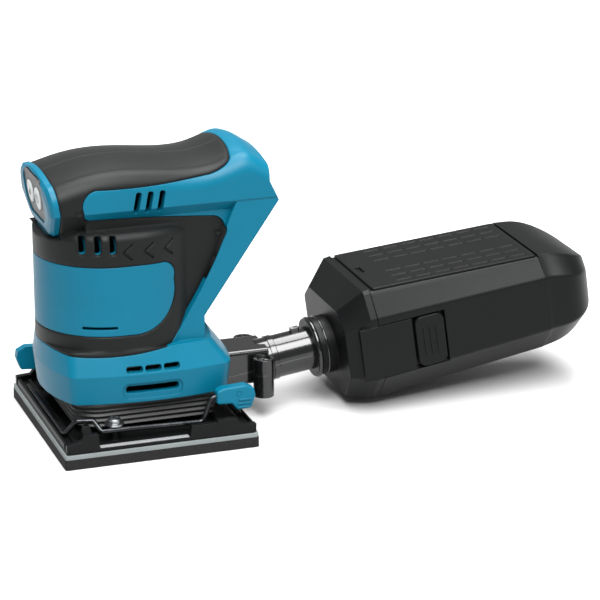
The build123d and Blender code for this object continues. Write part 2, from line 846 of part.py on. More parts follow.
with BuildPart() as bearing_retainer:
    with BuildSketch(Plane.XY.offset(18)):
        Circle(hub_radius)
        Circle(9, mode=Mode.SUBTRACT)
    extrude(amount=1.2)
save(bearing_retainer.part, "bearing_retainer")

# ---------------------------------------------------------------- paper clamps
wire_y = -46.6
lever_z = 26.3


def wire_route():
    """Route of the front clamp wire: bar, arch over the guide, side run and lever end."""
    points = [(-46.3, 38, 11.8), (-46.3, -36.5, 11.8), (-41, -40, 19.6), (-32.5, -42, 19.6), (-29.6, -fulcrum_y, 15.2),
              (-16, -fulcrum_y, 15.0), (24, wire_y, 13.8), (28, -46.4, lever_z), (45, -46.4, lever_z)]
    return points, [3, 2.6, 2, 1.6, 12, 3.5, 3.5]


def clamp_wire(turn, name):
    points, radii = wire_route()
    with BuildPart() as wire:
        with BuildLine() as route:
            FilletPolyline(*points, radius=radii)
        with BuildSketch(Plane(origin=points[0], z_dir=(0, -1, 0))):
            Circle(wire_radius)
        sweep(path=route.wires()[0])
    turned = wire.part.rotate(Axis.Z, turn)
    save(turned, name)


def clamp_lever(turn, name):
    """Moulded lever cap on the wire's end, with a ribbed finger tab below it."""
    with BuildPart() as lever:
        with BuildSketch(Plane.XZ.offset(43.7)) as profile:
            with BuildLine():
                Polyline((30.6, 22.8), (30.6, 29.6), (34, 31), (46, 31.6), (50.4, 29.4), (51.2, 25.6), (49, 19.2),
                         (41.4, 18.6), (38.6, 22.4), close=True)
            make_face()
            fillet(profile.vertices(), 1.4)
        extrude(amount=5.6)
        fillet(lever.faces().sort_by(Axis.Y)[0].edges(), 1)
        with BuildSketch(Plane.XZ.offset(49.1)):
            with Locations((44.6, 20.2), (45, 22.2), (45.4, 24.2)):
                Rectangle(7, 0.9)
        extrude(amount=0.7)
        with BuildSketch(Plane.YZ.offset(30)):
            with Locations((-46.4, lever_z)):
                Circle(wire_radius)
        extrude(amount=15.1, mode=Mode.SUBTRACT)
    save(lever.part.rotate(Axis.Z, turn), name)


def clamp_screw(turn, name):
    """Washer-head screw over the wire's fulcrum."""
    x, y = -fulcrum_x, -fulcrum_y + boss_offset
    seat = fulcrum_z + wire_radius + boss_gap
    with BuildPart() as screw:
        with BuildSketch(Plane.XY.offset(seat)):
            with Locations((x, y)):
                Circle(washer_radius)
        extrude(amount=1)
        with BuildSketch(Plane.XY.offset(seat + 1)):
            with Locations((x, y)):
                Circle(3.3)
        extrude(amount=2.4)
        fillet(screw.edges().group_by(Axis.Z)[-1], 0.8)
        with BuildSketch(Plane.XY.offset(seat + 2)):
            with Locations((x, y)):
                Rectangle(3.8, 0.9, rotation=20)
                Rectangle(0.9, 3.8, rotation=20)
        extrude(amount=2, mode=Mode.SUBTRACT)
    save(screw.part.rotate(Axis.Z, turn), name)


for turn, end in ((0, "front"), (180, "rear")):
    clamp_wire(turn, f"{end}_clamp_wire")
    clamp_lever(turn, f"{end}_clamp_lever")
    clamp_screw(turn, f"{end}_clamp_screw")

# ---------------------------------------------------------------- dust box
collar_bore = pipe_radius + 0.12


def case_face(distance, top_half, top, side_half, shoulder, sill, floor_half, floor, inset=0.0, corner=3.0):
    """One cross-section of the dust box, square to the dust axis."""
    with BuildSketch(pipe_plane(distance)) as section:
        with BuildLine():
            Polyline((-top_half, top), (top_half, top), (side_half, shoulder), (side_half, sill), (floor_half, floor),
                     (-floor_half, floor), (-side_half, sill), (-side_half, shoulder), close=True)
        make_face()
        if inset:
            offset(amount=-inset, kind=Kind.INTERSECTION, mode=Mode.REPLACE)
        fillet(section.vertices(), corner)
    return section.sketch


def body_section(distance, inset=0.0, drop=0.0):
    """Section of the box's long body, which tapers a little to the rear."""
    along = (distance - case_seam) / (case_rear - case_seam)
    top = 36 - 4.2 * along - drop
    return case_face(distance, 31, top, 38.7, 22 - along, -11 + 3 * along, 22, -28 + 3.6 * along, inset)


def end_section(distance, tall, wide, inset=0.0):
    """Section of the domed end, shrinking towards the tip in height and in width."""
    middle = 3.6
    top, shoulder, sill, floor = [middle + (height - middle) * tall for height in (31.8, 21, -8, -24.4)]
    corner = min(3.0, 4.0 * min(tall, wide))
    return case_face(distance, 31 * wide, top, 38.7 * wide, shoulder, sill, 22 * wide, floor, inset, corner)


with BuildPart() as case_front_part:
    loft([case_face(case_front, 22, 25, 32, 17, -9, 19, -24), case_face(48, 31, 35.6, 38.7, 22, -11, 22, -28),
          body_section(case_seam)], ruled=True)
    loft([case_face(case_front + case_wall, 20, 22, 30, 15, -8, 17, -21.5),
          case_face(48, 29, 33, 34, 20, -10, 20, -25.5), body_section(case_seam + 0.02, 4.5)],
         ruled=True, mode=Mode.SUBTRACT)
    with BuildSketch(pipe_plane(24)):
        Circle(15.6)
    extrude(amount=13)
    for side in (-1, 1):
        with BuildSketch(pipe_plane(41)):
            with Locations((side * 37.7, 3.6)):
                Rectangle(2.4, 28.6)
        extrude(amount=28.8)
    with BuildSketch(pipe_plane(20)):
        Circle(collar_bore)
    extrude(amount=30, mode=Mode.SUBTRACT)
save(case_front_part.part, "dust_case_front")

latch_start = 71.4
latch_end = 87.4
latch_rise = 3.6
latch_height = 27.6
arm_floor = 36.2
cover_rise = 1.2
seam_gap = 0.3
filter_rise = 4.0

with BuildPart() as dust_case:
    loft([body_section(case_seam + seam_gap, 0, cover_rise), body_section(case_rear, 0, cover_rise)], ruled=True)
    loft([body_section(case_seam + seam_gap - 1, 4.8), body_section(case_rear + 1, 4.8)], ruled=True,
         mode=Mode.SUBTRACT)
    for side in (-1, 1):
        with BuildSketch(pipe_plane(case_seam)):
            with Locations((side * (arm_floor + 5), 3.6)):
                Rectangle(10, 29.4)
        extrude(amount=latch_end + 1 - case_seam, mode=Mode.SUBTRACT)
        with BuildSketch(pipe_plane(latch_start - 1)):
            with Locations((side * 40, latch_rise)):
                Rectangle(10.6, latch_height + 1.2)
        extrude(amount=latch_end + 2 - latch_start, mode=Mode.SUBTRACT)
save(dust_case.part, "dust_case_rear")

with BuildPart() as case_end_cap:
    loft([end_section(case_rear, 1, 1), end_section(155, 0.955, 1), end_section(163, 0.865, 0.985),
          end_section(170, 0.74, 0.86), end_section(175, 0.62, 0.66), end_section(case_end, 0.5, 0.42)])
    loft([end_section(case_rear - 1, 1, 1, 4.5), end_section(160, 0.88, 0.95, 3.5),
          end_section(170, 0.66, 0.72, 3.5)], ruled=True, mode=Mode.SUBTRACT)
save(case_end_cap.part, "dust_case_end")


def cover_section(distance):
    """Section of the raised cover on the box's sloping top."""
    along = (distance - case_seam) / (case_rear - case_seam)
    with BuildSketch(pipe_plane(distance)) as section:
        with Locations((0, 36 - 4.2 * along - cover_rise / 2)):
            Rectangle(60, cover_rise)
    return section.sketch


with BuildPart() as top_cover:
    loft([cover_section(case_seam + 2), cover_section(case_rear - 1)], ruled=True)
save(top_cover.part, "dust_case_cover")


def latch_plane(side, depth):
    """Plane along the dust axis, facing out of the box's side: local X runs to the rear, local Y up or down."""
    return Plane(origin=Vector(pipe_x, side * depth, pipe_z), x_dir=pipe_dir, z_dir=Vector(0, side, 0))


for side, side_name in ((-1, "left"), (1, "right")):
    latch_spot = ((latch_start + latch_end) / 2, -side * latch_rise)
    with BuildPart() as latch:
        with BuildSketch(latch_plane(side, 37.0)):
            with Locations(latch_spot):
                RectangleRounded(latch_end - latch_start, latch_height, 4)
        extrude(amount=2.0)
        fillet(latch.faces().sort_by(Axis.Y)[0 if side < 0 else -1].edges(), 0.6)
        with BuildSketch(latch_plane(side, 38.6)):
            with Locations(latch_spot):
                with GridLocations(3.5, 1, 3, 1):
                    RectangleRounded(1.1, 15, 0.5)
        extrude(amount=0.9)
    save(latch.part, f"{side_name}_latch_button")

with BuildPart() as filter_frame:
    with BuildSketch(pipe_plane(54)):
        with Locations((0, filter_rise)):
            RectangleRounded(56, 38, 5)
            RectangleRounded(46, 30, 4, mode=Mode.SUBTRACT)
    extrude(amount=3)
save(filter_frame.part, "filter_frame")

with BuildPart() as dust_filter:
    with BuildSketch(pipe_plane(57)):
        with Locations((0, filter_rise)):
            RectangleRounded(52, 34, 5)
            RectangleRounded(48, 30, 3, mode=Mode.SUBTRACT)
    extrude(amount=76)
    with BuildSketch(pipe_plane(133)):
        with Locations((0, filter_rise)):
            RectangleRounded(52, 34, 5)
    extrude(amount=2)
save(dust_filter.part, "dust_filter")

with BuildPart() as terminal_block:
    with BuildSketch(slope_plane.offset(-pocket_depth)):
        with Locations((6, 0)):
            Rectangle(30, 34)
    extrude(amount=3.6)
    with BuildSketch(slope_plane.offset(-pocket_depth + 3.6)):
        with Locations((6, -11), (6, 0), (6, 11)):
            Rectangle(22, 3)
    extrude(amount=-2.2, mode=Mode.SUBTRACT)
save(terminal_block.part, "terminal_block")

for offset_y, name in ((-11, "left"), (11, "right")):
    with BuildPart() as blade:
        with BuildSketch(slope_plane.offset(-pocket_depth + 1.5)):
            with Locations((6, offset_y)):
                Rectangle(14, 0.8)
        extrude(amount=4)
    save(blade.part, f"{name}_terminal")

# ---------------------------------------------------------------- housing screws
for x, z, end in ((-34, 124.0, "front"), (39, 108.0, "rear")):
    with BuildPart() as housing_screw:
        with BuildSketch(Plane.XZ.offset(-2)):
            with Locations((x, z)):
                Circle(1.9)
        extrude(amount=18)
    save(housing_screw.part, f"{end}_housing_screw")
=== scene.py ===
"""Looks of a cordless palm-grip sander, laid out as an add-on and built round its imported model."""

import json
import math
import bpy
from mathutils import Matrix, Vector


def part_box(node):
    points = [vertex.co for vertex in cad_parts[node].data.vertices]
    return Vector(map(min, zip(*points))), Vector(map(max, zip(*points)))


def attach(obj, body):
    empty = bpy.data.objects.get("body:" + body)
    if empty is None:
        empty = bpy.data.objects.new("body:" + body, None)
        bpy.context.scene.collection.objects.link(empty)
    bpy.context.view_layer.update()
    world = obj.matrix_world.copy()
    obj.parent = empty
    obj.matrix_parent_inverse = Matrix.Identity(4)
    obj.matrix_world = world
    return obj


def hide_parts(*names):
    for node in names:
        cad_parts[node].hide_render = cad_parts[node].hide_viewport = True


bl_info = {
    "name": "Palm Sander Builder",
    "version": (1, 0, 0),
    "blender": (4, 5, 0),
    "location": "View3D > Sidebar > Sander",
    "description": "Finishes and extra pieces of a cordless palm-grip sander",
    "category": "Object",
}

import bmesh
import bpy
from bpy.props import FloatProperty, FloatVectorProperty, IntProperty
from mathutils import Matrix, Vector, noise

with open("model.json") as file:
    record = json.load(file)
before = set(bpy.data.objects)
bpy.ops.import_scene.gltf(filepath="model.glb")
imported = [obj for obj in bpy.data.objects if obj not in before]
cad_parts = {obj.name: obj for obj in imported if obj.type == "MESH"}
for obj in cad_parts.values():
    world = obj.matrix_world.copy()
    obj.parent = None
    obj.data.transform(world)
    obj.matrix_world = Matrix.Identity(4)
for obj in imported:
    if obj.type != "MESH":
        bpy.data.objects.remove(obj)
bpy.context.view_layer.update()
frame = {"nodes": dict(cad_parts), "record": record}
MM = 0.001

# The dust axis leaves the nozzle at a tilt; the nose leans by the same angle the other way.
TILT = math.radians(8)
PIPE_START = Vector((73, 0, 26)) * MM
NOSE_START = Vector((-44.4, 0, 128.8)) * MM
# How far the key tops stand out of the nose, and how far each key is from its middle.
BUTTON_FACE = 5.35 * MM
BUTTON_SIDE = 7.5 * MM
QUARTER_TURN = math.radians(90)
# The camera looks from the front left, a little from above, through a long lens.
CAMERA_PLACE = Vector((-0.3668, -1.3292, 0.5362))
CAMERA_AIM = Vector((0.09189, 0, 0.05643))
CAMERA_LENS_MM = 169.6
# Each lamp's name, kind, place in metres, spread (an angle for the sun, a width for the others) and power.
LAMP_AIM = Vector((0.09, 0, 0.06))
LAMPS = (("key", "SUN", (-0.05, -0.95, 1.5), math.radians(42), 7.6),
         ("fill", "AREA", (1.4, -1.0, 1.1), 0.9, 6),
         ("top", "AREA", (0.2, 0.3, 1.4), 0.9, 34))
WORLD_STRENGTH = 0.35


def along_dust_axis(distance, side=0.0, height=0.0):
    """Place on the dust axis: X runs to the rear along it, Y is the far side and Z is up."""
    turn = Matrix.Rotation(-TILT, 4, "Y")
    return Matrix.Translation(PIPE_START) @ turn @ Matrix.Translation((distance, side, height))


def on_nose(side, depth):
    """Place on the nose: X runs to the left, Y up along the leaning face and Z out of it."""
    sine, cosine = math.sin(TILT), math.cos(TILT)
    turn = Matrix(((0, -sine, -cosine), (-1, 0, 0), (0, cosine, -sine))).to_4x4()
    return Matrix.Translation(NOSE_START) @ turn @ Matrix.Translation((side, 0, depth))


def middle_of(node):
    """Centre of a node's box, and its size."""
    low, high = (Vector(corner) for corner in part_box(node))
    return (low + high) / 2, high - low


# ---------------------------------------------------------------- materials
def linear(text):
    """An sRGB hex colour as a linear RGBA tuple."""
    values = [int(text[i:i + 2], 16) / 255 for i in (1, 3, 5)]
    return tuple(v / 12.92 if v <= 0.04045 else ((v + 0.055) / 1.055) ** 2.4 for v in values) + (1.0,)


def add_node(tree, kind, links=(), **settings):
    """Add a node, set its sockets or properties, and link its inputs."""
    node = tree.nodes.new(kind)
    for key, value in settings.items():
        socket = node.inputs.get(key.replace("_", " "))
        if socket is None:
            setattr(node, key, value)
        else:
            socket.default_value = value
    for socket_name, source in links:
        tree.links.new(source, node.inputs[socket_name])
    return node


def new_material(name):
    """An empty node material with its surface shader and output."""
    material = bpy.data.materials.new(name)
    material.use_nodes = True
    tree = material.node_tree
    tree.nodes.clear()
    shader = add_node(tree, "ShaderNodeBsdfPrincipled")
    add_node(tree, "ShaderNodeOutputMaterial", [("Surface", shader.outputs["BSDF"])])
    return material, tree, shader


def moulded(name, dark, light, roughness, grain_mm, grain_depth_mm, edge_mm=0.45, patch_mm=18.0,
            rough_swing=0.05, specular=0.5):
    """A moulded or cast surface: spark-eroded grain, faint patches of tone and gloss, and rounded edges."""
    material, tree, shader = new_material(name)
    place = add_node(tree, "ShaderNodeTexCoord").outputs["Object"]
    patches = add_node(tree, "ShaderNodeTexNoise", [("Vector", place)], Detail=3.0,
                       Scale=1 / (patch_mm * MM))
    colour = add_node(tree, "ShaderNodeMix", data_type="RGBA")
    tree.links.new(patches.outputs["Fac"], colour.inputs["Factor"])
    colour.inputs[6].default_value = dark
    colour.inputs[7].default_value = light
    tree.links.new(colour.outputs[2], shader.inputs["Base Color"])
    gloss = add_node(tree, "ShaderNodeMapRange", [("Value", patches.outputs["Fac"])],
                     To_Min=roughness - rough_swing, To_Max=roughness + rough_swing)
    tree.links.new(gloss.outputs["Result"], shader.inputs["Roughness"])
    grain = add_node(tree, "ShaderNodeTexNoise", [("Vector", place)], Scale=1 / (grain_mm * MM), Detail=2.0)
    edge = add_node(tree, "ShaderNodeBevel", samples=4, Radius=edge_mm * MM)
    bump = add_node(tree, "ShaderNodeBump",
                    [("Height", grain.outputs["Fac"]), ("Normal", edge.outputs["Normal"])],
                    Strength=1.0, Distance=grain_depth_mm * MM)
    tree.links.new(bump.outputs["Normal"], shader.inputs["Normal"])
    shader.inputs["Specular IOR Level"].default_value = specular
    return material, tree, shader


def shade(colour, change):
    """A colour made a little lighter or darker, as RGBA."""
    return tuple(min(1.0, value * change) for value in colour[:3]) + (1.0,)


def glass_filled_nylon():
    """Teal glass-filled nylon, injection moulded: satin, with a sandy grain that softens its highlights."""
    teal = settings().teal
    return moulded("glass_filled_nylon", shade(teal, 0.92), shade(teal, 1.08), 0.4, 0.6, 0.012,
                   edge_mm=0.7, specular=0.16)[0]


def overmoulded_elastomer():
    """Charcoal elastomer moulded over the nylon: matt, with a faint sheen and broad soft corners."""
    grip = settings().grip
    material, _, shader = moulded("overmoulded_elastomer", shade(grip, 0.85), shade(grip, 1.15), 0.48, 0.7,
                                  0.02, edge_mm=2.2, specular=0.16)
    shader.inputs["Sheen Weight"].default_value = 0.03
    shader.inputs["Sheen Roughness"].default_value = 0.5
    return material


def black_polypropylene():
    """Black polypropylene moulding of the dust box and base: an etched leather-like grain, dull gloss."""
    black = settings().black
    return moulded("black_polypropylene", shade(black, 0.85), shade(black, 1.2), 0.4, 0.8, 0.03,
                   edge_mm=0.6, specular=0.12)[0]


def smooth_black_nylon():
    """Black nylon pipe and collar rings straight from a polished tool: smooth and glossy."""
    black = settings().black
    material, _, shader = moulded("smooth_black_nylon", shade(black, 0.8), black, 0.16, 2.0, 0.004,
                                  edge_mm=0.6)
    shader.inputs["Coat Weight"].default_value = 0.2
    return material


def polished_abs():
    """Black film panel round the buttons with a smooth satin face."""
    return moulded("polished_abs", linear("#0B0C0D"), linear("#111213"), 0.4, 1.5, 0.002, specular=0.2)[0]


def white_silicone():
    """White rubber key tops, slightly satin."""
    return moulded("white_silicone", linear("#A9AEAD"), linear("#B6BABA"), 0.45, 0.5, 0.004, edge_mm=0.3)[0]


def zinc_plated_steel():
    """Zinc-plated steel screws and bearings: bright, with a faint drawn streak."""
    material, _, shader = moulded("zinc_plated_steel", linear("#7B7D7F"), linear("#A2A4A6"), 0.28, 0.4,
                                  0.004)
    shader.inputs["Metallic"].default_value = 1.0
    return material


def blackened_steel():
    """Blackened spring steel wire: dark oxide, worn bright in small patches."""
    material, _, shader = moulded("blackened_steel", linear("#151617"), linear("#3E4042"), 0.26, 0.4, 0.006,
                                  edge_mm=0.2, patch_mm=5.0)
    shader.inputs["Metallic"].default_value = 0.9
    return material


def dull_iron():
    """Sintered iron and magnet steel: dark and matt."""
    material, _, shader = moulded("dull_iron", linear("#3C3D3F"), linear("#4A4B4D"), 0.55, 0.3, 0.006)
    shader.inputs["Metallic"].default_value = 0.7
    return material


def enamelled_copper():
    """Enamelled copper wire and copper contacts: warm, with a lacquered gloss."""
    material, _, shader = moulded("enamelled_copper", linear("#A85A2C"), linear("#C47A45"), 0.35, 0.5, 0.01)
    shader.inputs["Metallic"].default_value = 0.9
    return material


def carbon_block():
    """Pressed carbon: black, dull and slightly dusty."""
    return moulded("carbon_block", linear("#17171A"), linear("#202023"), 0.7, 0.3, 0.01)[0]


def cast_aluminium():
    """Die-cast aluminium with a blasted skin: pale grey and even."""
    material, _, shader = moulded("cast_aluminium", linear("#A3A5A7"), linear("#B5B7B9"), 0.42, 0.5, 0.01)
    shader.inputs["Metallic"].default_value = 1.0
    return material


def grey_pad_plate():
    """Mid grey pressed pad plate: matt and even."""
    return moulded("grey_pad_plate", linear("#5F6565"), linear("#727878"), 0.55, 0.5, 0.01, specular=0.3)[0]


def closed_cell_foam():
    """Black closed-cell foam: matt, its cut edge pitted by small cells, drawn coarse enough to show."""
    material, tree, shader = moulded("closed_cell_foam", linear("#0B0B0C"), linear("#1D1D1E"), 0.85, 0.5,
                                     0.02, patch_mm=1.6, specular=0.25)
    place = add_node(tree, "ShaderNodeTexCoord").outputs["Object"]
    cells = add_node(tree, "ShaderNodeTexVoronoi", [("Vector", place)], Scale=1 / (1.1 * MM))
    bump = add_node(tree, "ShaderNodeBump", [("Height", cells.outputs["Distance"])], Strength=1.0,
                    Distance=0.16 * MM)
    tree.links.new(bump.outputs["Normal"], shader.inputs["Normal"])
    return material


def soft_rubber():
    """Black soft rubber of the boot and legs: matt with a faint bloom."""
    return moulded("soft_rubber", linear("#0F1010"), linear("#191A1A"), 0.5, 0.5, 0.01, specular=0.4)[0]


def gritty_strip():
    """Grey mineral-filled grip strip in the base's side: speckled and rough like fine sandpaper."""
    return moulded("gritty_strip", linear("#4A4C4D"), linear("#8E9091"), 0.7, 0.7, 0.12, patch_mm=0.9)[0]


def dark_print():
    """Dark pad-printed ink of the marks on the white keys."""
    return moulded("dark_print", linear("#222426"), linear("#2A2C2E"), 0.5, 0.4, 0.001, edge_mm=0.02)[0]


def green_circuit_board():
    """Green glass-epoxy circuit board."""
    return moulded("green_circuit_board", linear("#0E4F2A"), linear("#156034"), 0.4, 0.5, 0.005)[0]


def filter_felt():
    """Off-white needled felt of the dust filter: fibrous and dull."""
    return moulded("filter_felt", linear("#D3CDBF"), linear("#E2DDD0"), 0.9, 0.4, 0.05)[0]


# The record's material slots, then three finishes that have no slot of their own.
FINISHES = {
    "teal_plastic": glass_filled_nylon, "grip_elastomer": overmoulded_elastomer,
    "black_plastic": black_polypropylene, "gloss_black": smooth_black_nylon, "panel_black": polished_abs,
    "white_plastic": white_silicone, "circuit_board": green_circuit_board, "steel": zinc_plated_steel,
    "iron": dull_iron, "copper": enamelled_copper, "carbon": carbon_block,
    "cast_aluminium": cast_aluminium, "grey_plate": grey_pad_plate, "pad_foam": closed_cell_foam,
    "black_rubber": soft_rubber, "filter_fabric": filter_felt,
    "dark_wire": blackened_steel, "grit": gritty_strip, "print": dark_print,
}
# Nodes that take another finish than their slot's.
SPECIAL_FINISH = {"front_clamp_wire": "dark_wire", "rear_clamp_wire": "dark_wire",
                  "nozzle_upper": "gloss_black", "nozzle_lower": "gloss_black"}
made = {}


def finish(name):
    """The material of a finish, made once."""
    if name not in made:
        made[name] = FINISHES[name]()
    return made[name]


def dress(piece, look):
    """Give a piece its finish."""
    piece.data.materials.clear()
    piece.data.materials.append(finish(look))
    return piece


# ---------------------------------------------------------------- mesh helpers
def as_piece(shape, name, body, slot, look=None, place=None, hard_angle=35):
    """Turn a finished shape into a piece: placed, normals outward, smooth between its hard edges."""
    if place is not None:
        bmesh.ops.transform(shape, matrix=place, verts=shape.verts)
    bmesh.ops.remove_doubles(shape, verts=shape.verts, dist=0.002 * MM)
    bmesh.ops.recalc_face_normals(shape, faces=shape.faces)
    for face in shape.faces:
        face.smooth = True
    for edge in shape.edges:
        edge.smooth = edge.calc_face_angle(0) < math.radians(hard_angle)
    mesh = bpy.data.meshes.new(name)
    shape.to_mesh(mesh)
    shape.free()
    piece = bpy.data.objects.new(name, mesh)
    bpy.context.scene.collection.objects.link(piece)
    dress(piece, look or slot)
    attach(piece, body)
    return piece


def round_off(shape, edges, radius, segments):
    """Round some edges of a shape."""
    bmesh.ops.bevel(shape, geom=edges, offset=radius, segments=segments, profile=0.5, affect="EDGES",
                    material=-1)


def sink(shape, faces, depth):
    """Move some faces of a shape straight down."""
    bmesh.ops.translate(shape, vec=(0, 0, -depth), verts=list({v for face in faces for v in face.verts}))


def block(length, width, height, corner=0.0, edge=0.0):
    """A block standing on Z = 0 with rounded upright corners and an eased top edge."""
    shape = bmesh.new()
    bmesh.ops.create_cube(shape, size=1.0)
    bmesh.ops.scale(shape, vec=(length, width, height), verts=shape.verts)
    bmesh.ops.translate(shape, vec=(0, 0, height / 2), verts=shape.verts)
    if corner:
        upright = [e for e in shape.edges if abs(e.verts[0].co.z - e.verts[1].co.z) > height / 2]
        round_off(shape, upright, corner, 6)
    if edge:
        top = [e for e in shape.edges if min(v.co.z for v in e.verts) > height * 0.99]
        round_off(shape, [e for e in top if e.calc_face_angle(0) > 1], edge, 3)
    return shape


def turned_ring(profile, steps=64, angle=2 * math.pi):
    """Spin a closed profile of (radius, height) points round Z."""
    shape = bmesh.new()
    verts = [shape.verts.new((radius, 0, height)) for radius, height in profile]
    edges = [shape.edges.new((verts[i - 1], verts[i])) for i in range(len(verts))]
    full = abs(angle - 2 * math.pi) < 0.001
    bmesh.ops.spin(shape, geom=verts + edges, cent=(0, 0, 0), axis=(0, 0, 1), angle=angle, steps=steps,
                   use_merge=full, use_duplicate=False)
    if not full:
        bmesh.ops.holes_fill(shape, edges=[e for e in shape.edges if e.is_boundary], sides=0)
    return shape


def bead_profile(radius, height, thickness, points=12):
    """A round profile for a ring's bead."""
    return [(radius + thickness * math.cos(2 * math.pi * i / points),
             height + thickness * math.sin(2 * math.pi * i / points)) for i in range(points)]


def cut_across(shape, axis, places):
    """Score a shape straight across at each place along an axis."""
    for place in places:
        everything = shape.verts[:] + shape.edges[:] + shape.faces[:]
        bmesh.ops.bisect_plane(shape, geom=everything, dist=0.0001 * MM, plane_co=axis * place, plane_no=axis)


def settings():
    """The sizes and colours that a user would change."""
    return bpy.context.scene.sander


class SanderSettings(bpy.types.PropertyGroup):
    """Sizes and colours of the sander's looks"""
    teal: FloatVectorProperty(name="Housing colour", description="Colour of the nylon housing",
                              subtype="COLOR", size=4, min=0.0, max=1.0, default=linear("#00566D"))
    grip: FloatVectorProperty(name="Grip colour", description="Colour of the elastomer grips",
                              subtype="COLOR", size=4, min=0.0, max=1.0, default=linear("#0C0E0E"))
    black: FloatVectorProperty(name="Black parts", description="Colour of the dust box, nozzle and base",
                               subtype="COLOR", size=4, min=0.0, max=1.0, default=linear("#0C0D0D"))
    dash_count: IntProperty(name="Dashes in a row", description="Moulded dashes along each row",
                            default=7, min=1, max=12)
    dash_width: FloatProperty(name="Dash width", description="Width of one moulded dash", unit="LENGTH",
                              default=1.7 * MM)
    dash_gap: FloatProperty(name="Dash gap", description="Gap between two dashes of a row", unit="LENGTH",
                            default=1.9 * MM)
    boot_folds: IntProperty(name="Boot folds", description="Folds of the rubber dust boot", default=4,
                            min=1, max=8)
    fold_depth: FloatProperty(name="Fold depth", description="Depth of one fold of the boot", unit="LENGTH",
                              default=1.1 * MM)
    filter_pleats: IntProperty(name="Filter pleats", description="Pleats along the dust filter",
                               default=14, min=4, max=30)
    foam_roughness: FloatProperty(name="Foam unevenness", description="How uneven the foam's cut edge is",
                                  unit="LENGTH", default=0.28 * MM)


# ---------------------------------------------------------------- operators
class SANDER_OT_frame_finishes(bpy.types.Operator):
    """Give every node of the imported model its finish"""
    bl_idname = "sander.frame_finishes"
    bl_label = "Frame finishes"

    def execute(self, context):
        slots = {part["node"]: part["material_slot"] for part in frame["record"]["subparts"]}
        for name, node in frame["nodes"].items():
            dress(node, SPECIAL_FINISH.get(name, slots[name]))
        return {"FINISHED"}


class SANDER_OT_foam_pad(bpy.types.Operator):
    """Foam pad with unevenly cut sides and the eight dust holes"""
    bl_idname = "sander.foam_pad"
    bl_label = "Foam pad"

    def execute(self, context):
        shape = bmesh.new()
        shape.from_mesh(frame["nodes"]["foam_pad"].data)
        bmesh.ops.remove_doubles(shape, verts=shape.verts, dist=0.001 * MM)
        bmesh.ops.dissolve_limit(shape, angle_limit=math.radians(1), verts=shape.verts, edges=shape.edges)
        centre, size = middle_of("foam_pad")
        spacing = 1.3 * MM
        edge_zone = 0.4 * MM
        for axis, half in ((Vector((1, 0, 0)), size.x / 2), (Vector((0, 1, 0)), size.y / 2)):
            count = int(half / spacing)
            cut_across(shape, axis, [half * i / count for i in range(1 - count, count)])
        cut_across(shape, Vector((0, 0, 1)), [size.z * i / 5 for i in range(1, 5)])
        for vert in shape.verts:
            offset = vert.co - centre
            if min(size.x / 2 - abs(offset.x), size.y / 2 - abs(offset.y)) < edge_zone:
                # Waves about a millimetre long over waves of six.
                wave = 0.5 + 0.5 * noise.noise(vert.co * 900) + 0.3 * noise.noise(vert.co * 160)
                outward = Vector((offset.x, offset.y, 0)).normalized()
                vert.co -= outward * settings().foam_roughness * wave
        piece = as_piece(shape, "foam_pad_cut", "pad", "pad_foam", hard_angle=50)
        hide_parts("foam_pad")
        return {"FINISHED"}


class SANDER_OT_dust_boot(bpy.types.Operator):
    """Folded rubber boot between the housing and the base"""
    bl_idname = "sander.dust_boot"
    bl_label = "Dust boot"

    def execute(self, context):
        centre, size = middle_of("dust_boot")
        low = centre.z - size.z / 2
        high = low + size.z
        lip = 1.2 * MM
        lip_height = 1.6 * MM
        wall = 1.5 * MM
        folds = settings().boot_folds
        steps = folds * 8
        profile = []
        for i in range(steps + 1):
            fold = settings().fold_depth * (0.5 - 0.5 * math.cos(2 * math.pi * folds * i / steps))
            profile.append((-lip - fold, low + (size.z - lip_height) * i / steps))
        profile += [(0.0, high - lip_height), (0.0, high), (-lip - wall, high), (-lip - wall, low)]
        shape = bmesh.new()
        loops = [self.loop(shape, size, offset, height) for offset, height in profile]
        for i in range(len(loops)):
            bmesh.ops.bridge_loops(shape, edges=loops[i - 1] + loops[i])
        piece = as_piece(shape, "folded_boot", "housing", "black_rubber", hard_angle=60)
        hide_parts("dust_boot")
        return {"FINISHED"}

    def loop(self, shape, size, offset, height):
        """One rounded-rectangle ring of the boot, as its edges."""
        corner = 15 * MM
        ring = []
        for sign_x, sign_y, start in ((1, 1, 0), (-1, 1, 90), (-1, -1, 180), (1, -1, 270)):
            centre = Vector((sign_x * (size.x / 2 - corner), sign_y * (size.y / 2 - corner), height))
            for step in range(9):
                turn = math.radians(start + step * 90 / 8)
                outward = Vector((math.cos(turn), math.sin(turn), 0))
                ring.append(shape.verts.new(centre + outward * (corner + offset)))
        return [shape.edges.new((ring[i - 1], ring[i])) for i in range(len(ring))]


class SANDER_OT_dust_filter(bpy.types.Operator):
    """Pleated felt filter inside the dust box"""
    bl_idname = "sander.dust_filter"
    bl_label = "Dust filter"

    def execute(self, context):
        length, width, height, rise = 76 * MM, 50 * MM, 32 * MM, 4 * MM
        front = 57.2 * MM
        shape = block(length, width, height, corner=4 * MM)
        creases = 2 * settings().filter_pleats
        cut_across(shape, Vector((1, 0, 0)), [length * (i / creases - 0.5) for i in range(1, creases)])
        for vert in shape.verts:
            crease = round((vert.co.x / length + 0.5) * creases)
            pull = 1.0 if crease % 2 else 0.9
            vert.co.y *= pull
            vert.co.z = height / 2 + (vert.co.z - height / 2) * pull
        place = along_dust_axis(front + length / 2, 0, rise - height / 2)
        piece = as_piece(shape, "pleated_filter", "dust_case", "filter_fabric", place=place, hard_angle=20)
        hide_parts("dust_filter")
        return {"FINISHED"}


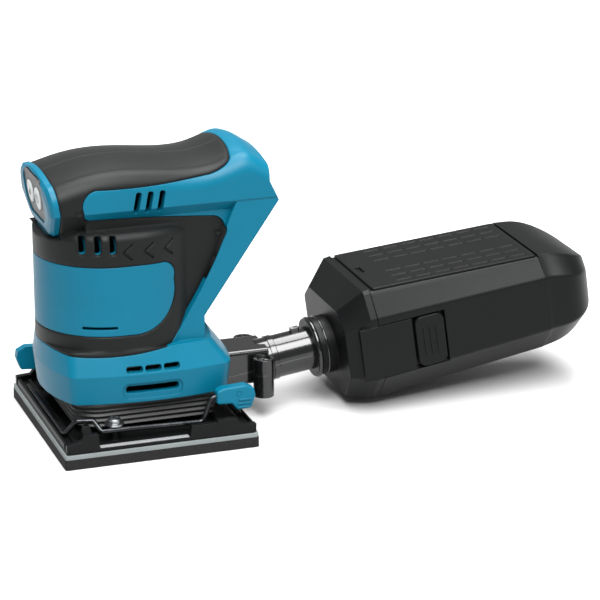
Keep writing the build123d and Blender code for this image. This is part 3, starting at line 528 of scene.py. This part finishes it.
class SANDER_OT_case_cover(bpy.types.Operator):
    """Top cover of the dust box with its rows of sunk dashes and the snap window"""
    bl_idname = "sander.case_cover"
    bl_label = "Dust box cover"

    def execute(self, context):
        length, width, thick = 92.1 * MM, 60 * MM, 1.2 * MM
        # The box's roof falls by 4.2 mm over its 95.1 mm, from 36 mm above the dust axis at its front.
        roof_start, roof_height, roof_length, roof_fall = 51.6 * MM, 36 * MM, 95.1 * MM, 4.2 * MM
        shape = block(length, width, thick, corner=1.2 * MM, edge=0.5 * MM)
        bmesh.ops.translate(shape, vec=(0, 0, -thick / 2), verts=shape.verts)
        look = settings()
        first, last = -30.5 * MM, 42.5 * MM
        pitch = (last - first + look.dash_gap) / look.dash_count
        starts = [first + i * pitch for i in range(look.dash_count)]
        dashes = [(start, start + pitch - look.dash_gap) for start in starts]
        rows = [(y - look.dash_width / 2, y + look.dash_width / 2)
                for y in (-25 * MM, -17 * MM, -9 * MM, 9 * MM, 17 * MM, 25 * MM)]
        window = ((-43.6 * MM, -40.6 * MM), (-4.5 * MM, 4.5 * MM))
        cut_across(shape, Vector((1, 0, 0)), [end for dash in dashes for end in dash] + list(window[0]))
        cut_across(shape, Vector((0, 1, 0)), [edge for row in rows for edge in row] + list(window[1]))

        def within(face, across, along):
            middle = face.calc_center_median()
            return (face.normal.z > 0.9 and any(a < middle.x < b for a, b in across)
                    and any(a < middle.y < b for a, b in along))

        sunk = [face for face in shape.faces if within(face, dashes, rows)]
        hole = [face for face in shape.faces if within(face, [window[0]], [window[1]])]
        for faces, rim, depth in ((sunk, 0.35 * MM, 0.6 * MM), (hole, 0.1 * MM, 1.0 * MM)):
            bmesh.ops.inset_region(shape, faces=faces, thickness=rim, depth=0, use_even_offset=True)
            sink(shape, faces, depth)
        along = roof_start + 2 * MM + length / 2
        height = roof_height - thick / 2 - roof_fall * (along - roof_start) / roof_length
        lean = Matrix.Rotation(math.atan2(roof_fall, roof_length), 4, "Y")
        place = along_dust_axis(along, 0, height) @ lean
        piece = as_piece(shape, "dashed_cover", "dust_case", "black_plastic", place=place, hard_angle=30)
        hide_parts("dust_case_cover")
        return {"FINISHED"}


class SANDER_OT_collar_rings(bpy.types.Operator):
    """Glossy bead rings on the dust box collar and the bayonet pin on the pipe"""
    bl_idname = "sander.collar_rings"
    bl_label = "Collar rings and pin"

    def execute(self, context):
        face_rear = Matrix.Rotation(QUARTER_TURN, 4, "Y")
        beads = (("collar_bead", 25.6, 14.9, 1.5), ("collar_step", 30.2, 15.3, 0.7))
        for name, distance, radius, thick in beads:
            shape = turned_ring(bead_profile(radius * MM, 0, thick * MM, 16))
            as_piece(shape, name, "dust_box", "black_plastic", "gloss_black",
                     along_dust_axis(distance * MM) @ face_rear)
        shape = block(5.0 * MM, 3.6 * MM, 2.6 * MM, 0.8 * MM, 0.5 * MM)
        half_slit = 0.35 * MM
        cut_across(shape, Vector((0, 1, 0)), (-half_slit, half_slit))
        upper = [face for face in shape.faces if face.normal.z > 0.9]
        sink(shape, [face for face in upper if abs(face.calc_center_median().y) < half_slit * 0.9], 0.7 * MM)
        as_piece(shape, "bayonet_pin", "housing", "black_plastic", "gloss_black",
                 along_dust_axis(17.4 * MM, 0, 11.0 * MM))
        return {"FINISHED"}


class SANDER_OT_boss_plugs(bpy.types.Operator):
    """Small round plugs over the screw bosses in the grip"""
    bl_idname = "sander.boss_plugs"
    bl_label = "Boss plugs"

    def execute(self, context):
        # Half of a plug's section as radius and height: a dished disc with a raised, chamfered rim.
        section = ((0.4, -0.2), (2.3, -0.2), (2.3, 0.2), (1.9, 0.35), (1.5, 0.1), (0.4, 0.1))
        for side in (-1, 1):
            outward = Matrix.Rotation(QUARTER_TURN * -side, 4, "X")
            hand = "left" if side < 0 else "right"
            for end, x, y, z in (("front", -34.2, 31.45, 125.6), ("rear", 38.6, 27.0, 107.6)):
                shape = turned_ring([(radius * MM, height * MM) for radius, height in section], steps=32)
                place = Matrix.Translation((x * MM, side * y * MM, z * MM)) @ outward
                as_piece(shape, f"{hand}_{end}_plug", "housing", "grip_elastomer", place=place)
        return {"FINISHED"}


class SANDER_OT_key_marks(bpy.types.Operator):
    """Power mark and speed bars printed on the two white keys"""
    bl_idname = "sander.key_marks"
    bl_label = "Key marks"

    def execute(self, context):
        thin = 0.08 * MM
        inner, outer = 1.9 * MM, 2.4 * MM
        arc = turned_ring([(inner, 0), (outer, 0), (outer, thin), (inner, thin)], steps=30,
                          angle=math.radians(290))
        gap_up = Matrix.Rotation(math.radians(125), 3, "Z")
        bmesh.ops.rotate(arc, cent=(0, 0, 0), matrix=gap_up, verts=arc.verts)
        power_key = on_nose(BUTTON_SIDE, BUTTON_FACE)
        as_piece(arc, "power_arc", "power_button", "white_plastic", "print", power_key)
        bar = block(0.5 * MM, 2.4 * MM, thin)
        as_piece(bar, "power_bar", "power_button", "white_plastic", "print",
                 power_key @ Matrix.Translation((0, 1.5 * MM, 0)))
        for index in range(3):
            tall = (1.6 + 1.1 * index) * MM
            step = block(0.7 * MM, tall, thin)
            spot = Matrix.Translation(((index - 1) * 1.3 * MM, tall / 2 - 1.9 * MM, 0))
            as_piece(step, f"speed_bar_{index + 1}", "speed_button", "white_plastic", "print",
                     on_nose(-BUTTON_SIDE, BUTTON_FACE) @ spot)
        return {"FINISHED"}


class SANDER_OT_base_details(bpy.types.Operator):
    """Gritty strips in the base's side cut-outs and the round marks on the clamp levers"""
    bl_idname = "sander.base_details"
    bl_label = "Base details"

    def execute(self, context):
        for end, turn in (("front", 0), ("rear", 180)):
            round_z = Matrix.Rotation(math.radians(turn), 4, "Z")
            strip = block(46.4 * MM, 3.0 * MM, 0.5 * MM, 0.3 * MM, 0.1 * MM)
            as_piece(strip, f"{end}_side_strip", "pad", "grey_plate", "grit",
                     round_z @ Matrix.Translation((-9.1 * MM, -52.9 * MM, 9.38 * MM)))
            mark = turned_ring(bead_profile(1.3 * MM, 0, 0.22 * MM, 8), steps=32)
            outward = Matrix.Rotation(QUARTER_TURN, 4, "X")
            place = round_z @ Matrix.Translation((42.2 * MM, -49.3 * MM, 27.8 * MM)) @ outward
            as_piece(mark, f"{end}_lever_mark", f"{end}_clamp", "teal_plastic", place=place)
        return {"FINISHED"}


class SANDER_OT_stage(bpy.types.Operator):
    """Pale floor, soft studio lights and the camera"""
    bl_idname = "sander.stage"
    bl_label = "Stage"

    def execute(self, context):
        scene = context.scene
        mesh = bpy.data.meshes.new("studio_floor")
        shape = bmesh.new()
        bmesh.ops.create_grid(shape, x_segments=1, y_segments=1, size=6.0)
        shape.to_mesh(mesh)
        shape.free()
        floor = bpy.data.objects.new("studio_floor", mesh)
        scene.collection.objects.link(floor)
        material, _, shader = new_material("pale_floor")
        shader.inputs["Base Color"].default_value = linear("#B4B4B4")
        shader.inputs["Roughness"].default_value = 0.8
        shader.inputs["Specular IOR Level"].default_value = 0.0
        mesh.materials.append(material)

        world = bpy.data.worlds.new("studio_world")
        scene.world = world
        world.use_nodes = True
        sky = world.node_tree.nodes["Background"]
        sky.inputs["Color"].default_value = linear("#FFFFFF")
        sky.inputs["Strength"].default_value = WORLD_STRENGTH

        for name, kind, place, spread, power in LAMPS:
            lamp = bpy.data.lights.new(name, kind)
            setattr(lamp, "angle" if kind == "SUN" else "size", spread)
            lamp.energy = power
            holder = bpy.data.objects.new(name, lamp)
            holder.location = place
            holder.rotation_euler = (LAMP_AIM - holder.location).to_track_quat("-Z", "Y").to_euler()
            scene.collection.objects.link(holder)

        camera = bpy.data.cameras.new("camera")
        camera.lens = CAMERA_LENS_MM
        camera.sensor_width = 36
        camera.clip_end = 20
        holder = bpy.data.objects.new("camera", camera)
        holder.location = CAMERA_PLACE
        holder.rotation_euler = (CAMERA_AIM - CAMERA_PLACE).to_track_quat("-Z", "Y").to_euler()
        scene.collection.objects.link(holder)
        scene.camera = holder
        scene.view_settings.view_transform = "Standard"
        return {"FINISHED"}


class SANDER_PT_panel(bpy.types.Panel):
    """Lists the sizes, the colours and the steps that build the sander"""
    bl_label = "Sander"
    bl_idname = "SANDER_PT_panel"
    bl_space_type = "VIEW_3D"
    bl_region_type = "UI"
    bl_category = "Sander"

    def draw(self, context):
        for name in SanderSettings.__annotations__:
            self.layout.prop(context.scene.sander, name)
        for operator in OPERATORS:
            self.layout.operator(operator.bl_idname)


OPERATORS = (SANDER_OT_frame_finishes, SANDER_OT_foam_pad, SANDER_OT_dust_boot, SANDER_OT_dust_filter,
             SANDER_OT_case_cover, SANDER_OT_collar_rings, SANDER_OT_boss_plugs, SANDER_OT_key_marks,
             SANDER_OT_base_details, SANDER_OT_stage)
CLASSES = (SanderSettings,) + OPERATORS + (SANDER_PT_panel,)


def register():
    for item in CLASSES:
        bpy.utils.register_class(item)
    bpy.types.Scene.sander = bpy.props.PointerProperty(type=SanderSettings)


def unregister():
    del bpy.types.Scene.sander
    for item in reversed(CLASSES):
        bpy.utils.unregister_class(item)


def main():
    register()
    bpy.ops.sander.frame_finishes()
    bpy.ops.sander.foam_pad()
    bpy.ops.sander.dust_boot()
    bpy.ops.sander.dust_filter()
    bpy.ops.sander.case_cover()
    bpy.ops.sander.collar_rings()
    bpy.ops.sander.boss_plugs()
    bpy.ops.sander.key_marks()
    bpy.ops.sander.base_details()
    bpy.ops.sander.stage()


if __name__ == "__main__":
    main()
